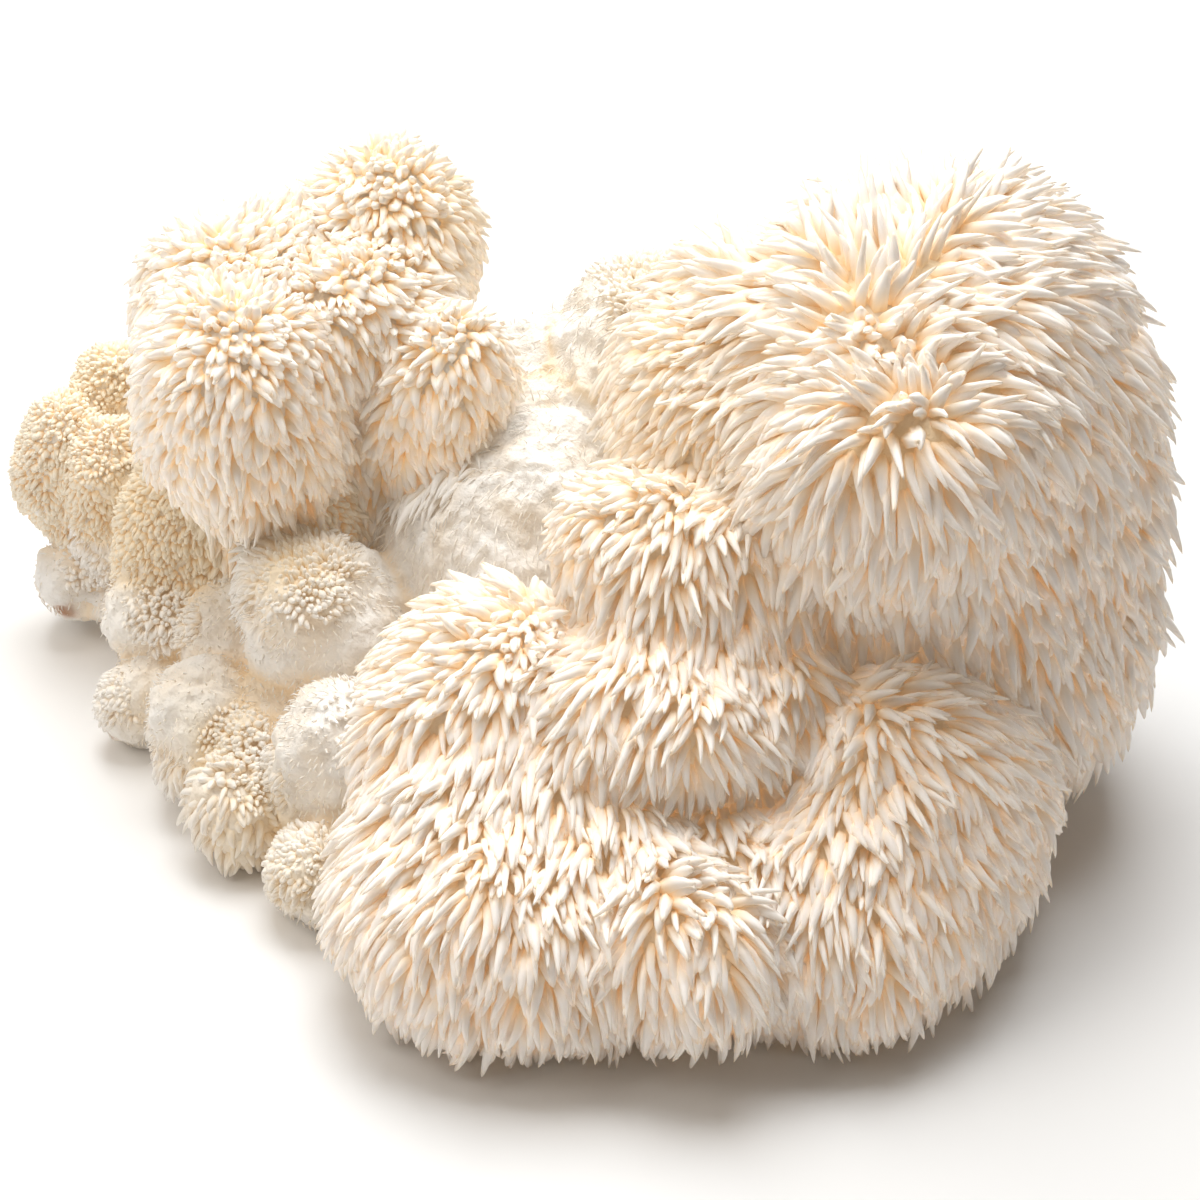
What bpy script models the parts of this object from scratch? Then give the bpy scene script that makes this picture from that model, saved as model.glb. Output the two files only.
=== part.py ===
"""A clump of lion's mane mushroom, modelled as the one solid that it grew as.

The clump is a mass of soft flesh with rounded lobes that run into each other, and every lobe
carries a coat of hanging spines. This solid is the outer form of the clump, where the tips of the
spines end. Its underside is one flat cut, where the clump was sliced off the wood it grew on, and
the clump stands on that cut. Units are metres, +Z is up, and the origin is the middle of the
clump's footprint, on the cut. The great head is to the right (+X) and the front is -Y.
"""

import bmesh
import bpy
from math import radians
from mathutils import Matrix, Vector

MM = 0.001

# Every lobe is an ellipsoid: its centre (x, y, z), its three half widths, and how far it leans
# about the Y axis, in degrees. Centres and half widths are in millimetres.
GREAT_HEAD = {
    "head": ((56, 15, 57), (40.5, 41, 51), 0),
    "left shoulder of the head": ((27, 17, 62), (24, 28, 30), -15),
    "brow": ((49, -7, 69), (24, 21, 21), 0),
    "skirt": ((63, 9, 30), (33, 34, 32), 0),
}
FRONT_HEAD = {
    "shelf": ((20, -7, 55), (24, 22, 17), 6),
    "middle tier": ((19, -22, 38), (26, 22, 17), 0),
    "left flank": ((-10, -19, 28), (26, 26, 25), 0),
    "foot": ((1, -47, 16), (35, 28, 25), 0),
    "knob": ((19, -61, 16), (15, 13, 16), 0),
    "right lobe": ((51, -27, 22), (27, 25, 25), 0),
    "low right lobe": ((39, -43, 13), (26, 25, 21), 0),
}
LEFT_CLUSTER = {
    "ball": ((-52, 26, 60), (18.5, 18, 23), -12),
    "shoulder": ((-54, 43, 65), (18, 18, 17), 20),
    "bridge": ((-35, 39, 69), (17, 16, 15), 0),
    "crown": ((-28, 55, 75), (15, 15, 17), 0),
    "ear": ((-22, 31, 56), (13, 12, 17), 18),
    "far ball": ((-87, 55, 30), (10, 11, 15), 0),
    "far bead": ((-80, 63, 42), (8, 8, 8), 0),
    "far cheek": ((-78, 47, 32), (9, 10, 13), 0),
    "column": ((-65, 35, 30), (13, 12, 16), 20),
    "fringe": ((-40, 23, 41), (6, 6, 8), 0),
}
LOW_NODULES = {
    "far nodule": ((-86, 51, 10), (8, 9, 8), 0),
    "far nodule's twin": ((-78, 47, 9), (8, 8, 8), 0),
    "left nodule": ((-69, 28, 16), (11, 10, 10), 0),
    "edge nodule": ((-71, 18, 7), (9, 9, 9), 0),
    "middle nodule": ((-59, 3, 11), (11, 12, 14), 0),
    "low nodule": ((-52, -12, 8), (10, 11, 11), 0),
    "front nodule": ((-38, -28, 7), (9.5, 9, 9), 0),
    "neck nodule": ((-40, 10, 28), (14, 14, 16), -20),
    "big nodule": ((-36, -12, 14), (13, 13, 18), 0),
    "small nodule": ((-51, -5, 14), (6, 6, 6), 0),
    "inner nodule": ((-53, 21, 16), (13, 13, 13), 0),
    "far root": ((-71, 51, 22), (16, 13, 20), 0),
}
FLESH = {
    "saddle": ((-3, 29, 32), (32, 26, 26), -25),
    "back of the saddle": ((-1, 49, 42), (24, 18, 20), 0),
    "ridge": ((14, 43, 60), (15, 18, 17), -20),
    "base": ((1, 7, 12), (48, 42, 16), 0),
    "back mass": ((-41, 43, 32), (34, 22, 36), 0),
    "back swell": ((13, 54, 20), (29, 17, 22), 0),
    "back bud": ((-19, 63, 24), (15, 12, 18), 0),
}

SPHERE_ROUNDS = 4  # subdivisions of the icosphere that each lobe starts as
JOIN_VOXEL = 3.1 * MM  # cell size at which the overlapping lobes become one skin
MELT_ROUNDS = 5  # smoothing passes that melt the creases between lobes
MELT_STRENGTH = 0.5
FACET_SHARE = 0.32  # share of the joined skin's triangles that the solid keeps
CUT_DEPTH = 60 * MM  # how far the slicing block reaches below the cut
CUT_WIDTH = 400 * MM
CREAM = (0.93, 0.86, 0.73, 1.0)


def clear_scene():
    for old in list(bpy.data.objects):
        bpy.data.objects.remove(old, do_unlink=True)


def cream_material():
    material = bpy.data.materials.new("cream_mushroom")
    material.use_nodes = True
    shader = material.node_tree.nodes["Principled BSDF"]
    shader.inputs["Base Color"].default_value = CREAM
    shader.inputs["Roughness"].default_value = 0.75
    shader.inputs["Metallic"].default_value = 0.0
    return material


def lobe_matrix(centre, half_widths, lean):
    """Turns a unit sphere into the lobe."""
    place = Matrix.Translation(Vector(centre) * MM)
    turn = Matrix.Rotation(radians(lean), 4, "Y")
    stretch = Matrix.Diagonal((*(Vector(half_widths) * MM), 1.0))
    return place @ turn @ stretch


def overlapping_lobes(*groups):
    """One mesh that holds every lobe as its own closed ball."""
    balls = bmesh.new()
    for group in groups:
        for centre, half_widths, lean in group.values():
            bmesh.ops.create_icosphere(
                balls,
                subdivisions=SPHERE_ROUNDS,
                radius=1.0,
                matrix=lobe_matrix(centre, half_widths, lean),
            )
    mesh = bpy.data.meshes.new("fruiting_body")
    balls.to_mesh(mesh)
    balls.free()
    return mesh


def slicing_block():
    """A block whose top face is the cut at the bottom of the clump."""
    block = bmesh.new()
    size = Matrix.Diagonal((CUT_WIDTH, CUT_WIDTH, CUT_DEPTH, 1.0))
    below = Matrix.Translation((0.0, 0.0, -CUT_DEPTH / 2))
    bmesh.ops.create_cube(block, size=1.0, matrix=below @ size)
    mesh = bpy.data.meshes.new("slicing_block")
    block.to_mesh(mesh)
    block.free()
    cutter = bpy.data.objects.new("slicing_block", mesh)
    cutter.hide_render = True
    cutter.display_type = "WIRE"
    bpy.context.scene.collection.objects.link(cutter)
    return cutter


def fruiting_body(cutter):
    mesh = overlapping_lobes(GREAT_HEAD, FRONT_HEAD, LEFT_CLUSTER, LOW_NODULES, FLESH)
    mesh.materials.append(cream_material())
    body = bpy.data.objects.new("fruiting_body", mesh)
    bpy.context.scene.collection.objects.link(body)

    join = body.modifiers.new("join", "REMESH")
    join.mode = "VOXEL"
    join.voxel_size = JOIN_VOXEL
    join.use_smooth_shade = True

    melt = body.modifiers.new("melt", "SMOOTH")
    melt.factor = MELT_STRENGTH
    melt.iterations = MELT_ROUNDS

    facets = body.modifiers.new("facets", "DECIMATE")
    facets.ratio = FACET_SHARE

    cut = body.modifiers.new("cut", "BOOLEAN")
    cut.operation = "DIFFERENCE"
    cut.object = cutter
    return body


def main():
    clear_scene()
    fruiting_body(slicing_block())


main()
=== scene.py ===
# %% [markdown]
# # A clump of lion's mane mushroom
# A lion's mane grows out of dead wood as one mass of soft white flesh. Its heads, tiers and nodules
# run into each other, and each grows its own coat: long hanging spines on the old heads, short
# fleece on the younger ones, a yellow crumb where spines only begin, and plain cottony flesh in the
# valley between them. This script builds the flesh as one skin, plants every spine on it, and gives
# both their finish. All shapes are worked out in millimetres and put into Blender in metres.

import bpy
import numpy as np
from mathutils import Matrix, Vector


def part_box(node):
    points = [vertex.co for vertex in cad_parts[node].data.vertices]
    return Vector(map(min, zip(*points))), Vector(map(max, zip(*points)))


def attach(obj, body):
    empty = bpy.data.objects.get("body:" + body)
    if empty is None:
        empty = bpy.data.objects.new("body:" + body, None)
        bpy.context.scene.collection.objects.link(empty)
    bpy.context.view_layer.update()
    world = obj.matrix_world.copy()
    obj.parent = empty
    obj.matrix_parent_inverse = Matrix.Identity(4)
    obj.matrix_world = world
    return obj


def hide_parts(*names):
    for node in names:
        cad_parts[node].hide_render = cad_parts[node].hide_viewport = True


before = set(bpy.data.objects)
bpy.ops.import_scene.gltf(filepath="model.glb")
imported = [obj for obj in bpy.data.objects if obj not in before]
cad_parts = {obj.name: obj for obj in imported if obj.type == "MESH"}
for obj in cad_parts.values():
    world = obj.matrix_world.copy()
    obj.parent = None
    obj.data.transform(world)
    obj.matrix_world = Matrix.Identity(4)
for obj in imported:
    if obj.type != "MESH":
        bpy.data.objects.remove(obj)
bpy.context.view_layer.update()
MM = 0.001
RANDOM = np.random.default_rng(1831)
cad_low, cad_high = (np.array(corner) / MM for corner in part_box("fruiting_body"))
print("the clump's box in mm:", cad_low.round(1), cad_high.round(1))

# %% [markdown]
# ## Camera, floor and light
# The clump is looked down on from the front with a long lens, so that near and far lobes keep their
# true proportions. The floor is one pale sheet that fills the picture. The light is a dim warm sky,
# a broad panel high up behind the clump, whose light skims the spines and lays a soft shadow in front
# of it, and a weak small panel near the left cluster, which stands in its own shade otherwise.

# %% Camera
LOOK_AT = Vector((5.0, -7.0, 45.0)) * MM
LOOK_DOWN = np.radians(35.0)
CAMERA_DISTANCE = 520 * MM

camera_data = bpy.data.cameras.new("camera")
camera_data.lens = 100
camera_data.sensor_width = 36
camera_data.clip_start = 0.01
camera = bpy.data.objects.new("camera", camera_data)
bpy.context.scene.collection.objects.link(camera)
looking = Vector((0, np.cos(LOOK_DOWN), -np.sin(LOOK_DOWN)))
camera.location = LOOK_AT - looking * CAMERA_DISTANCE
camera.rotation_euler = looking.to_track_quat("-Z", "Y").to_euler()
bpy.context.scene.camera = camera
print("the camera stands at", camera.location)


# %% Soft studio light
def panel_light(name, place, size, watts, colour):
    """A square area light at place (mm) that faces the middle of the clump."""
    data = bpy.data.lights.new(name, "AREA")
    data.shape = "SQUARE"
    data.size = size * MM
    data.energy = watts
    data.color = colour
    lamp = bpy.data.objects.new(name, data)
    bpy.context.scene.collection.objects.link(lamp)
    lamp.location = Vector(place) * MM
    lamp.rotation_euler = (LOOK_AT - lamp.location).to_track_quat("-Z", "Y").to_euler()


SKY_STRENGTH = 0.15
world = bpy.data.worlds.new("studio")
world.use_nodes = True
world.node_tree.nodes["Background"].inputs["Color"].default_value = (1.0, 0.86, 0.72, 1)
world.node_tree.nodes["Background"].inputs["Strength"].default_value = SKY_STRENGTH
bpy.context.scene.world = world
panel_light("key", (10, 330, 810), 660, 9.4, (0.96, 0.985, 1.0))
panel_light("left fill", (-260, -60, 330), 300, 0.6, (1.0, 0.95, 0.88))
bpy.context.scene.view_settings.view_transform = "Standard"

# %% [markdown]
# ## Shader sums
# A finish is easier to read as a sum than as a drawing of nodes. The class below wraps one socket,
# so that `1 - mask * 0.5` adds the Math nodes it says. Every other node comes from one method.


# %% A socket that can be added and multiplied
class Wire:
    """A node's output, as a term in a sum. Each operator adds the Math node it stands for."""

    def __init__(self, tree, socket=None):
        self.tree = tree
        self.socket = socket

    def node(self, kind, settings=None, inputs=None, output=0):
        """Adds a node, sets its settings, then gives each named input its value or its link."""
        made = self.tree.nodes.new(kind)
        for name, value in (settings or {}).items():
            setattr(made, name, value)
        for name, value in (inputs or {}).items():
            if isinstance(value, Wire):
                self.tree.links.new(value.socket, made.inputs[name])
            else:
                made.inputs[name].default_value = value
        return Wire(self.tree, made.outputs[output])

    def attribute(self, name):
        """The piece's own attribute of that name, as a value."""
        return self.node("ShaderNodeAttribute", {"attribute_name": name}, output=2)

    def math(self, operation, *terms):
        return self.node("ShaderNodeMath", {"operation": operation}, dict(enumerate(terms)))

    def __add__(self, other):
        return self.math("ADD", self, other)

    def __sub__(self, other):
        return self.math("SUBTRACT", self, other)

    def __rsub__(self, other):
        return self.math("SUBTRACT", other, self)

    def __mul__(self, other):
        return self.math("MULTIPLY", self, other)

    __radd__ = __add__
    __rmul__ = __mul__

    def clipped(self):
        """The value held between 0 and 1."""
        return self.math("MINIMUM", self.math("MAXIMUM", self, 0.0), 1.0)

    def blend(self, first, second):
        """Two colours or wires of colour, mixed with this value as the share of the second."""
        settings = {"data_type": "RGBA"}
        return self.node("ShaderNodeMix", settings, {0: self, 6: first, 7: second}, output=2)


# %% A soft pale floor
def floor_material():
    """Matt pale paper."""
    material = bpy.data.materials.new("studio_floor")
    material.use_nodes = True
    shader = material.node_tree.nodes["Principled BSDF"]
    shader.inputs["Base Color"].default_value = (0.93, 0.925, 0.92, 1)
    shader.inputs["Roughness"].default_value = 0.9
    shader.inputs["Specular IOR Level"].default_value = 0.2
    return material


FLOOR_WIDTH = 6.0
floor_mesh = bpy.data.meshes.new("floor")
half = FLOOR_WIDTH / 2
floor_mesh.from_pydata(
    [(-half, -half, 0), (half, -half, 0), (half, half, 0), (-half, half, 0)], [], [(0, 1, 2, 3)]
)
floor_mesh.materials.append(floor_material())
floor = bpy.data.objects.new("floor", floor_mesh)
bpy.context.scene.collection.objects.link(floor)

# %% [markdown]
# ## The lobes
# Every swelling of the clump is close to an ellipsoid, so the whole form is a list of them: centre,
# half widths, lean about the Y axis, and the coat it wears. The ellipsoids are the outer form, where
# spine tips end. The flesh lies inside them by the depth of the coat.

# %% What each coat is like
# Lengths in mm: how deep the flesh lies, how long and wide a spine is, how far apart the roots
# stand, and how much a spine stands off: 0 lies flat, and higher values stand ever more upright.
COATS = {
    "mane": {"depth": 4.8, "length": 9.0, "width": 1.85, "spacing": 1.48, "lift": 0.42},
    "curtain": {"depth": 4.2, "length": 7.8, "width": 1.65, "spacing": 1.32, "lift": 0.38},
    "nub": {"depth": 3.0, "length": 4.6, "width": 1.6, "spacing": 1.25, "lift": 0.6},
    "fleece": {"depth": 2.6, "length": 4.6, "width": 1.6, "spacing": 1.1, "lift": 0.6},
    "beard": {"depth": 2.6, "length": 7.5, "width": 1.5, "spacing": 1.12, "lift": 0.36},
    "back": {"depth": 3.0, "length": 6.5, "width": 2.1, "spacing": 1.7, "lift": 0.45},
    "fringe": {"depth": 1.4, "length": 3.6, "width": 1.3, "spacing": 1.4, "lift": 0.45},
    "tuft": {"depth": 3.8, "length": 5.6, "width": 1.9, "spacing": 1.3, "lift": 0.9},
    "grain": {"depth": 2.6, "length": 3.4, "width": 1.6, "spacing": 1.08, "lift": 0.95},
    "crumb": {"depth": 1.2, "length": 1.3, "width": 0.98, "spacing": 0.62, "lift": 1.5},
    "wool": {"depth": 0.4, "length": 1.1, "width": 0.34, "spacing": 1.15, "lift": 0.6},
    "wisp": {"depth": 0.4, "length": 3.2, "width": 0.24, "spacing": 1.3, "lift": 0.14},
}

# %% The lobes themselves
# Each growth is a set of lobes that melt together over a given reach in mm. A lobe is its centre,
# its half widths, its lean about the Y axis in degrees, and its coat.
GROWTHS = {
    "great head": (12, {
        "head": ((56, 15, 57), (40.5, 41, 51), 0, "mane"),
        "left shoulder of the head": ((27, 17, 62), (24, 28, 30), -15, "mane"),
        "brow": ((49, -7, 69), (24, 21, 21), 0, "mane"),
        "skirt": ((63, 9, 30), (33, 34, 32), 0, "mane"),
        "lower brow": ((49, -18, 77), (20, 15, 16), 0, "mane"),
    }),
    "cascade": (10, {
        "shelf": ((20, -7, 55), (24, 22, 17), 6, "curtain"),
        "middle tier": ((17, -24, 39), (27, 23, 16), 0, "curtain"),
    }),
    "front": (14, {
        "left flank": ((-10, -19, 28), (26, 26, 25), 0, "curtain"),
        "foot": ((-6, -44, 14), (31, 28, 23), 0, "curtain"),
        "right lobe": ((51, -27, 22), (27, 25, 25), 0, "curtain"),
        "low right lobe": ((39, -43, 13), (26, 25, 21), 0, "curtain"),
        "middle of the front": ((13, -42, 13), (21, 19, 16), 0, "curtain"),
    }),
    "knob": (5, {"knob": ((18, -60, 18), (16, 14, 15), 0, "curtain")}),
    "left cluster": (5, {
        "ball": ((-52, 26, 60), (18.5, 18, 23), -12, "fleece"),
        "shoulder": ((-54, 44, 68), (18.5, 18, 19), 20, "fleece"),
        "bridge": ((-35, 39, 69), (17, 16, 15), 0, "fleece"),
        "upper bridge": ((-44, 49, 74), (13, 12, 11), 0, "fleece"),
        "crown": ((-29, 54, 75), (16, 15.5, 18), 0, "fleece"),
        "ear": ((-22, 31, 57), (13, 12, 19), 18, "fleece"),
    }),
    "crumb heads": (3, {
        "far ball": ((-87, 55, 30), (10, 11, 15), 0, "crumb"),
        "far bead": ((-80, 63, 42), (8, 8, 8), 0, "crumb"),
        "far cheek": ((-78, 47, 32), (9, 10, 13), 0, "crumb"),
        "column": ((-65, 35, 30), (13, 12, 16), 20, "crumb"),
        "fringe": ((-40, 23, 41), (6, 6, 8), 0, "crumb"),
        "crumb on the neck": ((-43, 8, 34), (8.5, 9, 8.5), 0, "crumb"),
    }),
    "nodules": (1.8, {
        "far nodule": ((-86, 51, 10), (8, 9, 8), 0, "wool"),
        "far nodule's twin": ((-78, 47, 9), (8, 8, 8), 0, "wool"),
        "left nodule": ((-69, 28, 16), (11, 10, 10), 0, "wool"),
        "edge nodule": ((-71, 18, 7), (9, 9, 9), 0, "wool"),
        "middle nodule": ((-59, 3, 11), (11, 12, 14), 0, "wool"),
        "low nodule": ((-52, -12, 8), (10, 11, 11), 0, "fringe"),
        "front nodule": ((-38, -28, 7), (9.5, 9, 9), 0, "wool"),
        "neck nodule": ((-40, 10, 28), (14, 14, 16), -20, "wool"),
        "big nodule": ((-36, -12, 14), (13, 13, 18), 0, "wool"),
        "small nodule": ((-50, -6, 15), (7, 6.5, 7), 0, "wool"),
        "filling nodule": ((-46, 3, 12), (12, 12, 13), 0, "wool"),
        "inner nodule": ((-53, 21, 16), (13, 13, 13), 0, "wool"),
        "far root": ((-71, 51, 22), (16, 13, 20), 0, "wool"),
    }),
    "saddle": (10, {
        "saddle": ((-3, 29, 32), (32, 26, 26), -25, "wisp"),
        "back of the saddle": ((-1, 49, 42), (24, 18, 20), 0, "wisp"),
        "ridge": ((14, 43, 60), (15, 18, 17), -20, "wisp"),
        "base": ((1, 7, 12), (48, 42, 16), 0, "wisp"),
    }),
    "back": (10, {
        "back mass": ((-41, 43, 32), (34, 22, 36), 0, "back"),
        "back swell": ((13, 54, 20), (29, 17, 22), 0, "back"),
        "back bud": ((-19, 63, 24), (15, 12, 18), 0, "back"),
    }),
}
BETWEEN_GROWTHS = 4.0  # how far one growth melts into the next, in mm
LOBES = {name: lobe for _, lobes in GROWTHS.values() for name, lobe in lobes.items()}
LOBE_NAMES = list(LOBES)
CENTRES = np.array([LOBES[name][0] for name in LOBE_NAMES], float)
HALVES = np.array([LOBES[name][1] for name in LOBE_NAMES], float)
LEANS = np.radians([LOBES[name][2] for name in LOBE_NAMES])
LOBE_COATS = [COATS[LOBES[name][3]] for name in LOBE_NAMES]
print(len(LOBES), "lobes")

# %% Patches where the coat changes
# A patch is its centre and radius in mm and the coat that takes over there. Later ones win.
PATCHES = [
    ((-52, 17, 43), 12, "beard"),
    ((-22, 21, 51), 7, "beard"),
    ((-42, 6, 41), 9, "crumb"),
    ((2, -9, 63), 13, "nub"),
    ((20, -8, 73), 10, "nub"),
    ((-21, -22, 50), 13, "nub"),
    ((-6, -22, 54), 9, "nub"),
    ((-31, -20, 38), 9, "nub"),
    ((13, 8, 84), 13, "nub"),
    ((18, -56, 34), 8, "tuft"),
    ((43, -10, 94), 9, "tuft"),
    ((49, -17, 92), 7, "tuft"),
    ((-52, 22, 81), 13, "grain"),
    ((-56, 43, 85), 13, "grain"),
    ((-37, 38, 83), 11, "grain"),
    ((-22, 29, 74), 8, "grain"),
    ((15, 44, 78), 13, "crumb"),
    ((-28, 52, 91), 13, "grain"),
    ((-54, -8, 19), 6, "crumb"),
    ((-48, -16, 16), 6, "crumb"),
    ((-84, 46, 16), 6, "crumb"),
    ((-76, 14, 10), 5, "crumb"),
    ((-44, -30, 12), 8, "crumb"),
    ((-62, -4, 8), 6, "fringe"),
    ((-68, 20, 24), 7, "crumb"),
    ((-30, -20, 16), 7, "crumb"),
]


# How sharply a patch ends: the power in its falloff.
SOFT_EDGE = 4
PATCH_EDGES = {"crumb": 12}


# %% Distance to one lobe and to the melted whole
def lobe_distance(points, lobe, depth=0.0):
    """How far points are outside a lobe that is shrunk by depth.

    A point is moved to the lobe's centre and turned back by its lean. With k0 the length of the
    point divided by the half widths, and k1 its length divided by their squares, the distance is
    close to k0 * (k0 - 1) / k1.
    """
    cos, sin = np.cos(LEANS[lobe]), np.sin(LEANS[lobe])
    x, y, z = (points - CENTRES[lobe]).T
    local = np.stack([x * cos - z * sin, y, x * sin + z * cos], -1)
    halves = HALVES[lobe] - depth
    k0 = np.linalg.norm(local / halves, axis=-1)
    k1 = np.linalg.norm(local / halves**2, axis=-1)
    return k0 * (k0 - 1) / np.maximum(k1, 1e-6)


def melted(first, second, reach):
    """The smaller of two distances, rounded where they are within reach of each other: the
    overlap h = 1 - |first - second| / reach, where positive, takes h * h * reach / 4 off."""
    overlap = np.maximum(1 - np.abs(first - second) / reach, 0)
    return np.minimum(first, second) - overlap**2 * reach / 4


FAR_OFF = 60.0  # the distance in mm that a place has before any lobe is near it


def clump_distance(points, coat_share=1.0):
    """Distance to the flesh for coat_share 1, and to the spine tips' outer form for 0: the lobes of
    each growth melted over its own reach, then the growths melted over theirs."""
    whole = np.full(len(points), FAR_OFF)
    for reach, lobes in GROWTHS.values():
        growth = np.full(len(points), FAR_OFF)
        for name in lobes:
            lobe = LOBE_NAMES.index(name)
            depth = LOBE_COATS[lobe]["depth"] * coat_share
            growth = melted(growth, lobe_distance(points, lobe, depth), reach)
        whole = melted(whole, growth, BETWEEN_GROWTHS)
    return whole


# %% [markdown]
# ## The flesh
# The flesh is one skin round all the lobes. A grid of distances is filled in box by box around each
# lobe, and a surface net turns it into quads: smooth, closed, with even faces. Fine swellings and
# the cottony lumps are then pushed out along the normals.


# %% A surface net
def surface_net(field, origin, cell):
    """A closed quad skin where a grid of distances is zero.

    Every grid edge that the surface crosses gives one quad, whose corners are the four cells round
    that edge. A cell's vertex is the mean of the crossing points on its edges.
    """
    inside = field < 0
    steps = np.eye(3, dtype=int)
    crossings, quads = [], []
    for axis in range(3):
        u, v = steps[(axis + 1) % 3], steps[(axis + 2) % 3]
        near = [slice(None)] * 3
        far = [slice(None)] * 3
        near[axis] = slice(None, -1)
        far[axis] = slice(1, None)
        edges = np.argwhere(inside[tuple(near)] != inside[tuple(far)])
        start = field[tuple(edges.T)]
        end = field[tuple((edges + steps[axis]).T)]
        crossing = edges + steps[axis] * (start / (start - end))[:, None]
        around = np.stack([edges - u - v, edges - v, edges, edges - u], 1)
        around = np.where((start < 0)[:, None, None], around, around[:, ::-1])
        crossings.append(np.repeat(crossing[:, None], 4, 1).reshape(-1, 3))
        quads.append(around)
    cells = np.concatenate(quads).reshape(-1, 3)
    flat = np.ravel_multi_index(tuple(cells.T), field.shape)
    _, index = np.unique(flat, return_inverse=True)
    crossings = np.concatenate(crossings)
    count = np.bincount(index)
    vertices = np.stack([np.bincount(index, crossings[:, i]) / count for i in range(3)], -1)
    return origin + vertices * cell, index.reshape(-1, 4)


OPEN_AIR = 15.0  # the distance in mm that a grid holds away from every lobe
LOBE_SURROUND = 14  # how far round a lobe its distance is worked out, in mm


def distance_grid(low, high, cell):
    """The flesh's distance on a grid of points from low to high, melted growth by growth, and cut
    off flat at z = 0. Each lobe is only worked out in the box round it."""
    shape = np.ceil((high - low) / cell).astype(int) + 1
    whole = np.full(shape, OPEN_AIR, np.float32)
    for reach, lobes in GROWTHS.values():
        growth = np.full(shape, OPEN_AIR, np.float32)
        for name in lobes:
            lobe = LOBE_NAMES.index(name)
            span = HALVES[lobe].max() + LOBE_SURROUND
            first = np.clip(((CENTRES[lobe] - span - low) / cell).astype(int), 0, shape)
            last = np.clip(((CENTRES[lobe] + span - low) / cell).astype(int) + 2, 0, shape)
            if (last <= first).any():
                continue
            part = tuple(slice(a, b) for a, b in zip(first, last))
            axes = [low[i] + cell * np.arange(first[i], last[i]) for i in range(3)]
            points = np.stack(np.meshgrid(*axes, indexing="ij"), -1).astype(np.float32)
            distance = lobe_distance(points.reshape(-1, 3), lobe, LOBE_COATS[lobe]["depth"])
            distance = distance.astype(np.float32).reshape(points.shape[:3])
            growth[part] = melted(growth[part], distance, reach)
        whole = melted(whole, growth, BETWEEN_GROWTHS)
    heights = low[2] + cell * np.arange(shape[2])
    return np.maximum(whole, -heights.astype(np.float32))


def skin_normals(vertices, quads):
    """Unit normals of a quad skin's vertices: the sum of the crossed diagonals of their quads."""
    corners = vertices[quads]
    crossed = np.cross(corners[:, 2] - corners[:, 0], corners[:, 3] - corners[:, 1])
    normals = np.stack(
        [np.bincount(quads.ravel(), np.repeat(crossed[:, i], 4)) for i in range(3)], -1
    )
    return normals / np.maximum(np.linalg.norm(normals, axis=1, keepdims=True), 1e-9)


def ripples(points, wavelength, waves=14, seed=0):
    """Soft noise from -1 to 1 or so: the mean of plane waves in random directions, whose lengths
    are spread round the given one, times the square root of twice their number."""
    random = np.random.default_rng(seed)
    turns = random.normal(size=(waves, 3))
    turns /= np.linalg.norm(turns, axis=1, keepdims=True)
    turns *= 2 * np.pi / (wavelength * random.uniform(0.7, 1.5, (waves, 1)))
    return np.sin(points @ turns.T + random.uniform(0, 2 * np.pi, waves)).mean(1) * (waves / 2) ** 0.5


# %% Meshes from arrays
def new_piece(name, vertices, face_sets, material, attributes=None):
    """Puts a skin into a new object, in metres, with its point attributes. face_sets is a list of
    arrays, each of faces with the same number of corners."""
    mesh = bpy.data.meshes.new(name)
    corners = np.concatenate([faces.ravel() for faces in face_sets])
    sides = np.concatenate([np.full(len(faces), faces.shape[1]) for faces in face_sets])
    mesh.vertices.add(len(vertices))
    mesh.vertices.foreach_set("co", (vertices * MM).astype(np.float32).ravel())
    mesh.loops.add(len(corners))
    mesh.loops.foreach_set("vertex_index", corners.astype(np.int32))
    mesh.polygons.add(len(sides))
    starts = np.cumsum(sides) - sides
    mesh.polygons.foreach_set("loop_start", starts.astype(np.int32))
    mesh.update(calc_edges=True)
    mesh.shade_smooth()
    for label, values in (attributes or {}).items():
        layer = mesh.attributes.new(label, "FLOAT", "POINT")
        layer.data.foreach_set("value", values.astype(np.float32).ravel())
    mesh.materials.append(material)
    piece = bpy.data.objects.new(name, mesh)
    bpy.context.scene.collection.objects.link(piece)
    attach(piece, "root")
    print(f"{name}: {len(sides)} faces, {int((sides - 2).sum())} triangles")
    return piece


# %% Build the flesh skin
FOLD_WIDTH = 0.2  # how far the noise is from zero at the rim of a crease
FOOT_HEIGHT = 2.0  # height in mm over which the lumps fade out towards the cut


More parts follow.
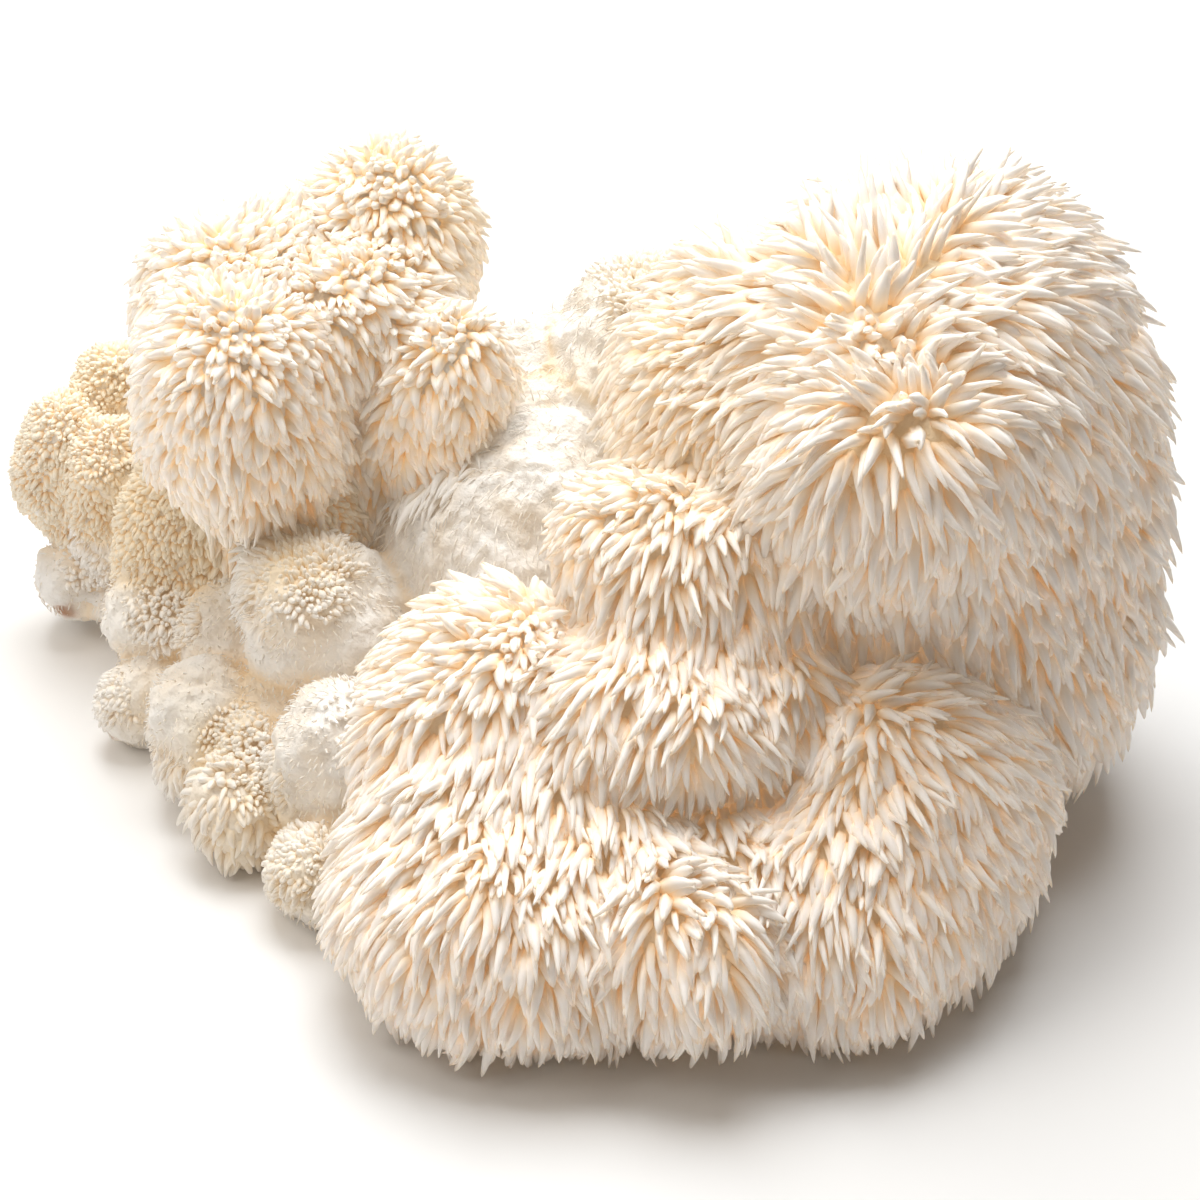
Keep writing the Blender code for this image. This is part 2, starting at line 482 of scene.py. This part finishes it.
def flesh_skin(low, high, cell, lumps, folds, sink):
    """Vertices, quads and normals of the flesh between two corners. lumps is a list of
    (wavelength, height) of the swellings that are pushed out along the normals, folds a list of
    (wavelength, depth) of narrow creases, cut by depth * exp(-(noise / FOLD_WIDTH)^2). sink gives
    how far the skin lies below its usual place."""
    field = distance_grid(np.array(low, float), np.array(high, float), cell)
    axes = [low[i] + cell * np.arange(field.shape[i]) for i in range(3)]
    field = field + sink(*np.meshgrid(*axes, indexing="ij")).astype(np.float32)
    vertices, quads = surface_net(field, np.array(low, float), cell)
    normals = skin_normals(vertices, quads)
    standing = np.clip(vertices[:, 2] / FOOT_HEIGHT, 0, 1)
    for seed, (wavelength, height) in enumerate(lumps):
        lift = ripples(vertices, wavelength, seed=seed) * height * standing
        vertices = vertices + normals * lift[:, None]
    for seed, (wavelength, depth) in enumerate(folds):
        crease = np.exp(-((ripples(vertices, wavelength, seed=50 + seed) / FOLD_WIDTH) ** 2))
        vertices = vertices - normals * (crease * depth * standing)[:, None]
    vertices[:, 2] = np.maximum(vertices[:, 2], 0.0)
    return vertices, quads, skin_normals(vertices, quads)


MARGIN = 3.0
COARSE_CELL = 1.25
FINE_CELL = 0.68
skin_low = np.append(cad_low[:2] - MARGIN, -MARGIN)
skin_high = cad_high + MARGIN
SWELLINGS = [(30, 1.3), (14, 0.8), (6, 0.3)]
COTTON_LUMPS = SWELLINGS + [(9, 0.5), (4.0, 0.38), (2.0, 0.2)]
COTTON_FOLDS = [(20, 0.8), (8, 0.24)]

# %% The bare flesh is finer
# The cottony parts are shown, so they get their own skin with cells half as wide. It dives under
# the coarse skin where the spines begin, and the coarse skin sinks under it where it is bare.
BARE_LOW = (-99, -44, -MARGIN)
BARE_HIGH = (36, 78, 90)
BARE_ZONES = [
    ((-6, 20, 46), 26),
    ((6, 36, 64), 22),
    *[(lobe[0], 1.5 + max(lobe[1])) for lobe in GROWTHS["nodules"][1].values()],
]


def from_bare(x, y, z):
    """Distance in mm outside the nearest bare zone, negative inside."""
    return np.min(
        [
            np.sqrt((x - cx) ** 2 + (y - cy) ** 2 + (z - cz) ** 2) - radius
            for (cx, cy, cz), radius in BARE_ZONES
        ],
        axis=0,
    )


def dive(x, y, z):
    """How far the fine skin goes under: three times the distance outside the bare zones."""
    return np.maximum(from_bare(x, y, z) - 1, 0) * 3


def give_way(x, y, z):
    """How far the coarse skin goes under: 1.3 mm, reached 5 mm inside the bare zones."""
    return np.clip(-from_bare(x, y, z) / 5, 0, 1) * 1.3


flesh_vertices, flesh_quads, flesh_normals = flesh_skin(
    skin_low, skin_high, COARSE_CELL, SWELLINGS, [], give_way
)
bare_vertices, bare_quads, _ = flesh_skin(
    BARE_LOW, BARE_HIGH, FINE_CELL, COTTON_LUMPS, COTTON_FOLDS, dive
)
print("flesh:", len(flesh_quads), "quads; bare flesh:", len(bare_quads), "quads")

# %% [markdown]
# ## Where the spines stand
# Roots are scattered over the skin so that no two are closer than the coat's spacing, as growing
# spines push each other apart. Each root then takes its length, width and lift from the lobes it
# belongs to, shared smoothly where lobes melt together, so a coat thins out towards the next one.


# %% Shares of the lobes, and what they give
def lobe_shares(points, softness=1.4):
    """How much each lobe owns each point: the exponential of minus its distance over softness,
    divided by the sum over all lobes."""
    distances = np.stack(
        [lobe_distance(points, i, coat["depth"]) for i, coat in enumerate(LOBE_COATS)], -1
    )
    shares = np.exp(-(distances - distances.min(1, keepdims=True)) / softness)
    return shares / shares.sum(1, keepdims=True)


def coat_value(points, shares, key):
    """A coat's value at each point: its lobes' values by share, and then each patch's value by
    exp(-(distance / radius)^edge), with the distance made uneven by soft noise."""
    values = shares @ np.array([coat[key] for coat in LOBE_COATS])
    uneven = 1 + 0.14 * ripples(points, 6.0, seed=41)
    for centre, radius, coat in PATCHES:
        distance = np.linalg.norm(points - centre, axis=1) * uneven
        inside = np.exp(-((distance / radius) ** PATCH_EDGES.get(coat, SOFT_EDGE)))
        values = values + (COATS[coat][key] - values) * inside
    return values


# %% Scatter without crowding
MOST_ROUNDS = 40


def scattered(points, spacing, order_seed):
    """Indices of points no two of which are closer than the spacing at the first of them.

    Every point holds a lot. Space is divided in cells as wide as the widest spacing. In each round
    the best lot of a cell stays if no better one of the 26 cells round it is within the spacing, and
    its neighbours within the spacing go. The rounds end when no point is left over.
    """
    lots = np.random.default_rng(order_seed).permutation(len(points))
    shifts = np.stack(np.meshgrid(*[[-1, 0, 1]] * 3, indexing="ij"), -1).reshape(-1, 3)
    width = spacing.max()
    cells = ((points - points.min(0)) / width).astype(int) + 1
    shape = cells.max(0) + 2
    flat = np.ravel_multi_index(tuple(cells.T), shape)
    flat_shifts = shifts @ np.array([shape[1] * shape[2], shape[2], 1])
    alive = np.ones(len(points), bool)
    kept = []
    for _ in range(MOST_ROUNDS):
        index = np.flatnonzero(alive)
        if not len(index):
            break
        index = index[np.argsort(-lots[index])]
        best = np.full(np.prod(shape), -1)
        best[flat[index]] = index
        winners = np.unique(best[flat[index]])
        rivals = best[flat[winners][:, None] + flat_shifts]
        gaps = np.linalg.norm(points[rivals] - points[winners][:, None], axis=-1)
        beaten = (rivals >= 0) & (lots[rivals] < lots[winners][:, None])
        beaten &= gaps < spacing[winners][:, None]
        winners = winners[~beaten.any(1)]
        kept.append(winners)
        best[:] = -1
        best[flat[winners]] = winners
        near = best[flat[index][:, None] + flat_shifts]
        gaps = np.linalg.norm(points[near] - points[index][:, None], axis=-1)
        crowded = ((near >= 0) & (gaps < spacing[index][:, None])).any(1)
        alive[index[crowded]] = False
        alive[winners] = False
    return np.sort(np.concatenate(kept))


# %% Plant the roots
def points_on_skin(vertices, quads, normals, count, random):
    """Random points spread evenly by area: a quad is drawn in proportion to its area, then a
    point inside it by two shares u and v."""
    corners = vertices[quads]
    crossed = np.cross(corners[:, 2] - corners[:, 0], corners[:, 3] - corners[:, 1])
    area = np.linalg.norm(crossed, axis=1)
    picked = random.choice(len(quads), count, p=area / area.sum())
    u, v = random.random((2, count, 1, 1))
    weights = [(1 - u) * (1 - v), u * (1 - v), u * v, (1 - u) * v]
    weights = np.concatenate(weights, 1)
    place = (vertices[quads[picked]] * weights).sum(1)
    normal = (normals[quads[picked]] * weights).sum(1)
    return place, normal / np.linalg.norm(normal, axis=1, keepdims=True)


# The roots stand on the skin that shows, so they are lifted by what the coarse skin gave way. None
# stands on the cut.
CANDIDATES = 320_000
LOWEST_ROOT = 0.8
root_points, root_normals = points_on_skin(
    flesh_vertices, flesh_quads, flesh_normals, CANDIDATES, RANDOM
)
root_points += root_normals * give_way(*root_points.T)[:, None]
off_the_cut = root_points[:, 2] > LOWEST_ROOT
root_points, root_normals = root_points[off_the_cut], root_normals[off_the_cut]
root_shares = lobe_shares(root_points)
root_spacing = coat_value(root_points, root_shares, "spacing")
kept = scattered(root_points, root_spacing, order_seed=5)
root_points, root_normals, root_shares = root_points[kept], root_normals[kept], root_shares[kept]
print(len(kept), "roots")

# %% [markdown]
# ## Which way the spines point
# Spines grow out of the flesh and hang down. On a head they part at a crown, where the head is
# oldest, and flow away from it: outwards near the crown, straight down on the sides. Locks of a few
# spines lean together, because they are joined at the base.

# %% Crowns where the coats part
# Each crown is a point in mm; lobes that aren't named part at their own top.
GREAT_WHORL = (43.0, -9.0, 94.0)
BROW_WHORL = (49.0, -16.5, 93.0)
CROWNS = {
    "head": GREAT_WHORL,
    "left shoulder of the head": GREAT_WHORL,
    "brow": BROW_WHORL,
    "skirt": GREAT_WHORL,
    "lower brow": BROW_WHORL,
    "shelf": (30, 6, 74),
    "middle tier": (30, 0, 64),
    "left flank": (12, 4, 62),
    "foot": (16, 0, 62),
    "middle of the front": (16, 0, 62),
    "knob": (17, -50, 38),
    "right lobe": (24, -18, 54),
    "low right lobe": (24, -18, 54),
}
crown_points = np.array(
    [
        CROWNS.get(name, CENTRES[i] + [0, 0, HALVES[i][2] * 0.9])
        for i, name in enumerate(LOBE_NAMES)
    ]
)


# %% Directions
def unit(vectors):
    return vectors / np.maximum(np.linalg.norm(vectors, axis=-1, keepdims=True), 1e-9)


def along_skin(vectors, normals):
    """The part of each vector that lies along the skin."""
    return vectors - (vectors * normals).sum(-1, keepdims=True) * normals


DOWN = np.array([0.0, 0.0, -1.0])


def crown_gap(points, shares):
    """The way from the crown to each point, with the crown's place made uneven by soft noise."""
    uneven = np.stack([ripples(points, 18.0, seed=seed) for seed in (31, 32, 33)], -1) * 6.5
    uneven += np.stack([ripples(points, 5.0, seed=seed) for seed in (34, 35, 36)], -1) * 2.2
    return points + uneven - shares @ crown_points


def spine_flow(points, normals, shares):
    """The way that spines lie, along the skin: away from the crown, turned downhill with distance
    from it, and swayed to either side by soft noise, so that neighbours sway together. It fades
    near the crown, where spines stand upright."""
    from_crown = crown_gap(points, shares)
    reach = np.linalg.norm(from_crown, axis=1, keepdims=True)
    parting = np.exp(-reach / 17.0) + 0.40
    flow = along_skin(unit(from_crown), normals) * parting
    flow = flow + along_skin(np.broadcast_to(DOWN, points.shape), normals) * (1.40 - parting)
    flow = unit(flow + 1e-6)
    sway = 0.42 * ripples(points, 11.0, seed=21) + 0.26 * ripples(points, 4.0, seed=22)
    flow = unit(flow + np.cross(normals, flow) * sway[:, None])
    return flow * (1 - 0.75 * np.exp(-((reach / 8.0) ** 2)))


def spine_lift(points, normals, shares, random):
    """How far spines stand off: more on top, where they grow upright, and more in some locks."""
    lift = coat_value(points, shares, "lift") * (1 + 0.45 * np.maximum(normals[:, 2], 0) ** 2)
    reach = np.linalg.norm(crown_gap(points, shares), axis=1)
    lift = lift + 0.35 * np.exp(-((reach / 9.0) ** 2))
    lift = lift * (1 + 0.35 * ripples(points, 7.0, seed=23) + random.normal(0, 0.22, len(points)))
    return np.maximum(lift, 0.05)[:, None]


root_flow = spine_flow(root_points, root_normals, root_shares)
root_lift = spine_lift(root_points, root_normals, root_shares, RANDOM)
crown_distance = np.linalg.norm(crown_gap(root_points, root_shares), axis=1, keepdims=True)
looseness = 0.14 + 0.24 * np.exp(-((crown_distance / 11.0) ** 2))
leaning = RANDOM.normal(0, 1.0, root_points.shape) * looseness
root_directions = unit(root_normals * (root_lift + 0.8) + root_flow * 0.7 + leaning)
tip_directions = unit(root_normals * root_lift + root_flow + leaning)
SMALLEST = 0.64  # the smallest and largest share of its coat's size that a spine gets by chance
LARGEST = 1.3
chance = RANDOM.uniform(SMALLEST, LARGEST, (2, len(root_points)))
spine_length = coat_value(root_points, root_shares, "length") * chance[0]
spine_length *= 1 + 0.16 * ripples(root_points, 9.0, seed=24)
spine_width = coat_value(root_points, root_shares, "width") * chance[1]
print("spines up to", spine_length.max().round(1), "mm long")


# %% Locks of spines
def drawn_together(points, ends, spacing, pull, seed):
    """Ends drawn towards the mean end of their lock by the share pull. A lock is the roots nearest
    to one of a coarser scatter of roots."""
    heads = scattered(points, spacing, seed)
    nearest = np.zeros(len(points), int)
    for first in range(0, len(points), 2000):
        gaps = np.linalg.norm(points[first : first + 2000, None] - points[heads][None], axis=-1)
        nearest[first : first + 2000] = gaps.argmin(1)
    members = np.bincount(nearest, minlength=len(heads))[nearest]
    middle = np.stack([np.bincount(nearest, ends[:, i])[nearest] for i in range(3)], -1)
    return ends + (middle / members[:, None] - ends) * pull


# %% [markdown]
# ## One spine
# A spine is a soft icicle: broad at the root, where it runs into its neighbours, full in the belly,
# and drawn out to a fine tip that curls a little. It could be a curve with a bevel, but tens of
# thousands of curves are slow, so it is a profile carried along a bent path, and all the spines of a
# piece are worked out at once, as one array of rings.

# %% Spine profiles
# Each profile is pairs of (share of the length, share of the half width); the tip is one point.
LONG_PROFILE = [(0.0, 1.4), (0.27, 1.18), (0.54, 0.98), (0.78, 0.66), (0.94, 0.32)]
SHORT_PROFILE = [(0.0, 1.35), (0.36, 1.12), (0.7, 0.8), (0.92, 0.42)]
STUB_PROFILE = [(0.0, 1.4), (0.45, 1.15), (0.85, 0.66)]
HAIR_PROFILE = [(0.0, 1.0), (0.5, 0.8)]


# Any fixed direction that few spines share, to tell their sides apart.
ODD_AXIS = np.array([0.31, 0.17, 0.93])


def spine_mesh(roots, directions, tips, widths, profile, sides, random):
    """Vertices, quads, triangles and the share of length at each vertex.

    The path is root * (1-t)^2 + handle * 2t(1-t) + tip * t^2, with the handle half a length out
    along the start direction, plus a curl that grows as t^3. Each ring is an ellipse across the
    path, slightly flatter than round, turned by a chance angle. The heel is a cone that goes one
    width down into the flesh, so that no flat end shows.
    """
    count = len(roots)
    stations = np.array([t for t, _ in profile])
    swell = np.array([r for _, r in profile])
    length = np.linalg.norm(tips - roots, axis=1, keepdims=True)
    handle = roots + directions * length * 0.5
    curl = random.normal(0, 0.085, (count, 1, 3)) * length[:, None]
    t = np.append(stations, 1.0)[None, :, None]
    path = roots[:, None] * (1 - t) ** 2 + 2 * handle[:, None] * t * (1 - t) + tips[:, None] * t**2
    path = path + curl * t**3
    heading = unit(np.gradient(path, axis=1))
    aside = unit(np.cross(unit(tips - roots), ODD_AXIS))
    across = unit(np.cross(heading, aside[:, None]))
    over = np.cross(heading, across)
    turn = random.uniform(0, np.pi, (count, 1, 1))
    wide = across * np.cos(turn) + over * np.sin(turn)
    thick = np.cross(heading, wide) * random.uniform(0.8, 1.0, (count, 1, 1))
    angle = np.linspace(0, 2 * np.pi, sides, endpoint=False)[:, None]
    circle = wide[:, :-1, None] * np.cos(angle) + thick[:, :-1, None] * np.sin(angle)
    radius = (widths / 2)[:, None] * swell
    rings = path[:, :-1, None] + circle * radius[:, :, None, None]
    heel_point = path[:, :1] - heading[:, :1] * widths[:, None, None]
    spine = np.concatenate([rings.reshape(count, -1, 3), path[:, -1:], heel_point], 1)
    around = np.arange(sides)
    after = (around + 1) % sides
    rows = np.arange(len(stations) - 1)[:, None] * sides
    tube = [rows + around, rows + after, rows + sides + after, rows + sides + around]
    last = (len(stations) - 1) * sides
    tip, heel = len(stations) * sides, len(stations) * sides + 1
    point = np.stack([last + around, last + after, np.full(sides, tip)], -1)
    cap = np.stack([after, around, np.full(sides, heel)], -1)
    offsets = (np.arange(count) * spine.shape[1])[:, None, None]
    quads = (offsets + np.stack(tube, -1).reshape(-1, 4)).reshape(-1, 4)
    triangles = (offsets + np.concatenate([point, cap])).reshape(-1, 3)
    share = np.concatenate([np.repeat(stations, sides), [1.0, 0.0]])
    return spine.reshape(-1, 3), quads, triangles, np.tile(share, count)


# %% [markdown]
# ## The finishes
# Fresh lion's mane is waxy and lets light through. Its spines scatter light inside, and a faint warm
# glow that the skin gives off at their roots, though it is no lamp, is painted light that stands for
# the light that soaks through the thick flesh into the hollows. The colour goes from tan at the root
# of a spine, which is painted shade of the hollows between spines, to a pale body and a faintly
# browned tip.
# Old coats are yellower. The flesh between is cottony white, with fine felted fibres; under the
# spines and in its creases it is tan with painted shade.

# %% Shared settings of the living skin
GLOW_RADIUS = (1.0, 0.80, 0.60)
GLOW_DEPTH = 1.5
# Painted glow: the skin gives off light of its own, as a lamp would, to lighten its shade; warm at
# the roots of the spines and under them, faint elsewhere.
PAINTED_GLOW_STRENGTH = 0.08
WARM_GLOW = (1.0, 0.62, 0.30, 1)
PALE_GLOW = (0.30, 0.25, 0.20, 1)


def living_shader(material, glow, roughness, gloss):
    """Sets the constants of a waxy skin, of which the share glow scatters light inside, and that
    gives off a faint painted glow, though it is no lamp, to lighten what lies in shade. Returns its
    shader node."""
    material.use_nodes = True
    shader = material.node_tree.nodes["Principled BSDF"]
    shader.subsurface_method = "BURLEY"
    shader.inputs["Subsurface Weight"].default_value = glow
    shader.inputs["Subsurface Radius"].default_value = GLOW_RADIUS
    shader.inputs["Subsurface Scale"].default_value = GLOW_DEPTH * MM
    shader.inputs["Roughness"].default_value = roughness
    shader.inputs["Specular IOR Level"].default_value = gloss
    # The painted glow: the skin shines faintly by itself, though it is no lamp.
    shader.inputs["Emission Strength"].default_value = PAINTED_GLOW_STRENGTH
    return shader


def spine_finish(name, body, root, tip, glow=0.0):
    """Colour along a spine: root, body, and a browned tip whose strength differs by chance. The tan
    root is painted shade of the hollows between spines. The painted glow is warm at the root and
    faint along the rest."""
    material = bpy.data.materials.new(name)
    shader = living_shader(material, glow, 0.5, 0.35)
    wire = Wire(material.node_tree)
    along = wire.attribute("along")
    chance = wire.attribute("chance")
    yellow = wire.attribute("yellow")
    from_root = ((along - 0.08) * 1.7).clipped()
    # The root colour is painted shade: the tan of the hollows where the spines meet the flesh.
    colour = from_root.blend(root, body)
    colour = (yellow * (1.15 - along * 0.45)).clipped().blend(colour, OLD_YELLOW)
    browned = ((along - 0.86) * 7.0).clipped() * (0.25 + chance * 0.75)
    colour = browned.clipped().blend(colour, tip)
    painted_glow = from_root.blend(WARM_GLOW, PALE_GLOW)
    material.node_tree.links.new(colour.socket, shader.inputs["Base Color"])
    material.node_tree.links.new(painted_glow.socket, shader.inputs["Emission Color"])
    return material


OLD_YELLOW = (0.955, 0.805, 0.57, 1)
# Each finish is body, root, tip and the share that scatters light inside; each root colour is painted
# shade of the hollows.
mane_finish = spine_finish(
    "mane_spines", (0.98, 0.94, 0.895, 1), (0.955, 0.77, 0.53, 1), (0.88, 0.70, 0.47, 1), 0.4
)
fleece_finish = spine_finish(
    "fleece_spines", (0.985, 0.95, 0.90, 1), (0.96, 0.76, 0.48, 1), (0.94, 0.84, 0.68, 1), 0.35
)
crumb_finish = spine_finish(
    "yellow_crumb", (0.955, 0.87, 0.73, 1), (0.92, 0.68, 0.42, 1), (0.94, 0.85, 0.68, 1)
)
wool_finish = spine_finish(
    "pale_wool", (0.985, 0.96, 0.925, 1), (0.98, 0.93, 0.86, 1), (0.98, 0.94, 0.88, 1)
)


def flesh_finish():
    """Cottony flesh: near-white where bare, tan with painted shade under the spines and in creases,
    yellow under the crumb.
    """
    material = bpy.data.materials.new("cottony_flesh")
    shader = living_shader(material, 0.0, 0.85, 0.1)
    wire = Wire(material.node_tree)
    place = wire.node("ShaderNodeTexCoord", output=3)
    coat_shade = wire.attribute("coat_shade")
    yellow = wire.attribute("yellow")
    brown = wire.attribute("brown")
    mottle = wire.node(
        "ShaderNodeTexNoise", None, {"Vector": place, "Scale": 110.0, "Detail": 5.0}, output=0
    )
    mottle = ((mottle - 0.42) * 4.0).clipped()
    colour = mottle.blend((0.985, 0.965, 0.935, 1), (0.965, 0.88, 0.77, 1))
    # Painted shade: tan where the coat hides the flesh and in creases.
    colour = coat_shade.blend(colour, (0.945, 0.75, 0.50, 1))
    colour = yellow.blend(colour, OLD_YELLOW)
    colour = (brown * 0.85).blend(colour, (0.42, 0.17, 0.05, 1))
    felt = wire.node(
        "ShaderNodeTexNoise", None, {"Vector": place, "Scale": 450.0, "Detail": 7.0}, output=0
    )
    bump = wire.node(
        "ShaderNodeBump", None, {"Strength": 0.8, "Distance": 0.0015, "Height": felt}
    )
    # Painted glow of the flesh: warm where the coat shades it, faint where it is bare.
    painted_glow = coat_shade.blend(PALE_GLOW, WARM_GLOW)
    material.node_tree.links.new(colour.socket, shader.inputs["Base Color"])
    material.node_tree.links.new(painted_glow.socket, shader.inputs["Emission Color"])
    material.node_tree.links.new(bump.socket, shader.inputs["Normal"])
    return material


# %% Yellow zones
# Where the coat is old and yellow: a centre and a radius in mm, and how strong it is.
YELLOW_ZONES = [
    ((16, 6, 74), 26, 0.5),
    ((14, -10, 70), 15, 0.2),
    ((-20, -12, 48), 14, 0.35),
    ((-18, 56, 84), 18, 0.5),
    ((14, 43, 78), 16, 0.6),
    ((-65, 35, 34), 18, 0.9),
    ((-80, 63, 44), 12, 0.8),
    ((-43, 8, 42), 9, 0.9),
    ((-56, -6, 16), 9, 0.9),
    ((-50, -20, 10), 11, 0.8),
    ((-40, -33, 9), 10, 0.7),
    ((-70, 12, 8), 9, 0.5),
    ((-30, -22, 14), 8, 0.5),
]


def yellowness(points):
    """The strongest zone at each point: its strength times exp(-(distance / radius) squared)."""
    zones = [
        strength * np.exp(-(np.linalg.norm(points - centre, axis=1) / radius) ** 2)
        for centre, radius, strength in YELLOW_ZONES
    ]
    return np.max(zones, axis=0) * (0.8 + 0.25 * ripples(points, 9.0, seed=3))


# %% Brown spots
# Small bruises where the growth has dried: a centre and a radius in mm.
BROWN_SPOTS = [
    ((-88.5, 43, 7.5), 2.0),
    ((-66.5, -4, 5), 2.6),
    ((-77.7, 13.5, 4.3), 2.0),
    ((-43, -4, 24), 0.9),
    ((-62, 2, 22), 0.8),
]


def brownness(points):
    """How brown each point is: the largest exp(-(distance / radius)^4) over the spots."""
    spots = [
        np.exp(-((np.linalg.norm(points - centre, axis=1) / radius) ** 4))
        for centre, radius in BROWN_SPOTS
    ]
    return np.max(spots, axis=0)


# %% [markdown]
# ## Putting the clump together
# The flesh takes the place of the solid, and the bare flesh lies over it. The spines are planted
# lobe by lobe into ten pieces, so that no piece grows too heavy.

# %% The flesh pieces
# Painted shade: flesh is tan where the coat is longer than the first length in mm, and fully so at
# the second.
COVER_STARTS = 3.4
COVER_FULL = 9.4
FLESH_YELLOW = 0.9


def cover(vertices, shares):
    """How deep under its coat the flesh lies, from 0 for bare to 1 for a long coat: its share of
    painted shade.
    """
    return (coat_value(vertices, shares, "length") - COVER_STARTS) / (COVER_FULL - COVER_STARTS)


flesh_shares = lobe_shares(flesh_vertices)
flesh = new_piece(
    "flesh",
    flesh_vertices,
    [flesh_quads],
    flesh_finish(),
    {
        "coat_shade": np.clip(cover(flesh_vertices, flesh_shares), 0, 1),
        "yellow": np.clip(yellowness(flesh_vertices) * FLESH_YELLOW, 0, 1),
        "brown": brownness(flesh_vertices),
    },
)
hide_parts("fruiting_body")
bare_shares = lobe_shares(bare_vertices)
# A crease is where no lobe owns the skin alone; it gets painted shade, the tan of the coat's hollows.
crease_shade = np.clip(1.45 - 1.6 * bare_shares.max(1), 0, 1)
bare_flesh = new_piece(
    "bare_flesh",
    bare_vertices,
    [bare_quads],
    flesh.data.materials[0],
    {
        "coat_shade": np.clip(cover(bare_vertices, bare_shares), crease_shade, 1),
        "brown": brownness(bare_vertices),
        "yellow": np.clip(yellowness(bare_vertices) * FLESH_YELLOW, 0, 1),
    },
)

# %% The spines, region by region
REGIONS = {
    "great_head_spines": (["head", "left shoulder of the head"], mane_finish),
    "brow_and_skirt_spines": (["brow", "skirt", "lower brow"], mane_finish),
    "front_tier_spines": (["shelf", "middle tier", "left flank"], mane_finish),
    "foot_spines": (["foot", "middle of the front", "knob"], mane_finish),
    "right_lobe_spines": (["right lobe", "low right lobe"], mane_finish),
    "left_cluster_fleece": (list(GROWTHS["left cluster"][1]), fleece_finish),
    "back_fleece": (["back mass", "back swell", "back bud"], fleece_finish),
    "yellow_crumb": (list(GROWTHS["crumb heads"][1]), crumb_finish),
    "nodule_wool": (list(GROWTHS["nodules"][1]), wool_finish),
    "saddle_wisps": (list(GROWTHS["saddle"][1]), wool_finish),
}
# A spine is long or short from these lengths in mm on, and a hair below this width.
LONG = 6.5
SHORT = 3.2
HAIR_WIDTH = 0.6


# How much the longest spines sag, what length counts as longest, how far a tip may pass the outer
# form, what share of the rest is drawn back, and how high over the cut a tip stays, all in mm but
# for the two shares.
SAG = 0.22
SAG_LENGTH = 16.0
TIP_OVERHANG = 1.2
DRAWN_BACK = 0.8
LOWEST_TIP = 0.25


def tips_of(points, normals, directions, lengths):
    """Tips that hang: the way to the tip bends down by SAG times length / SAG_LENGTH, and a tip that
    would pass the clump's outer form, or the surface it stands on, is drawn back."""
    sag = np.clip(lengths / SAG_LENGTH, 0, 1)[:, None] * SAG
    tips = points + unit(directions + sag * DOWN) * lengths[:, None]
    outside = np.maximum(clump_distance(tips, 0.0) - TIP_OVERHANG, 0)[:, None]
    tips = tips - normals * outside * DRAWN_BACK
    tips[:, 2] = np.maximum(tips[:, 2], LOWEST_TIP)
    return tips


# Locks are a few root spacings wide: their tips lean together, and their roots a little less.
TIP_LOCK = 3.2
TIP_PULL = 0.28
ROOT_LOCK = 2.6
ROOT_PULL = 0.12
lock_spacing = root_spacing[kept]
spine_tips = tips_of(root_points, root_normals, tip_directions, spine_length)
spine_tips = drawn_together(root_points, spine_tips, lock_spacing * TIP_LOCK, TIP_PULL, seed=9)
root_owner = root_shares.argmax(1)
root_yellow = np.clip(yellowness(root_points), 0, 1)
root_chance = RANDOM.random(len(root_points))
sunk_roots = drawn_together(
    root_points, root_points, lock_spacing * ROOT_LOCK, ROOT_PULL, seed=10
)
sunk_roots -= root_normals * np.minimum(spine_length * 0.13, 1.4)[:, None]


def plant(name, lobes, material):
    """All the spines of some lobes as one piece, each with the profile that its length calls for."""
    owners = [LOBE_NAMES.index(lobe) for lobe in lobes]
    here = np.isin(root_owner, owners)
    slender = spine_width < HAIR_WIDTH
    kinds = [
        (~slender & (spine_length >= LONG), LONG_PROFILE, 5),
        (~slender & (spine_length < LONG) & (spine_length >= SHORT), SHORT_PROFILE, 5),
        (~slender & (spine_length < SHORT), STUB_PROFILE, 5),
        (slender, HAIR_PROFILE, 3),
    ]
    vertices, quads, triangles, along, chosen = [], [], [], [], []
    start = 0
    for fits, profile, sides in kinds:
        pick = np.flatnonzero(here & fits)
        if not len(pick):
            continue
        made = spine_mesh(
            sunk_roots[pick], root_directions[pick], spine_tips[pick], spine_width[pick],
            profile, sides, RANDOM,
        )
        vertices.append(made[0])
        quads.append(made[1] + start)
        triangles.append(made[2] + start)
        along.append(made[3])
        chosen.append(np.repeat(pick, len(made[0]) // len(pick)))
        start += len(made[0])
    vertices = np.concatenate(vertices)
    vertices[:, 2] = np.maximum(vertices[:, 2], 0.05)
    chosen = np.concatenate(chosen)
    attributes = {
        "along": np.concatenate(along), "chance": root_chance[chosen], "yellow": root_yellow[chosen]
    }
    faces = [np.concatenate(quads), np.concatenate(triangles)]
    return new_piece(name, vertices, faces, material, attributes)


for region, (lobes, material) in REGIONS.items():
    plant(region, lobes, material)
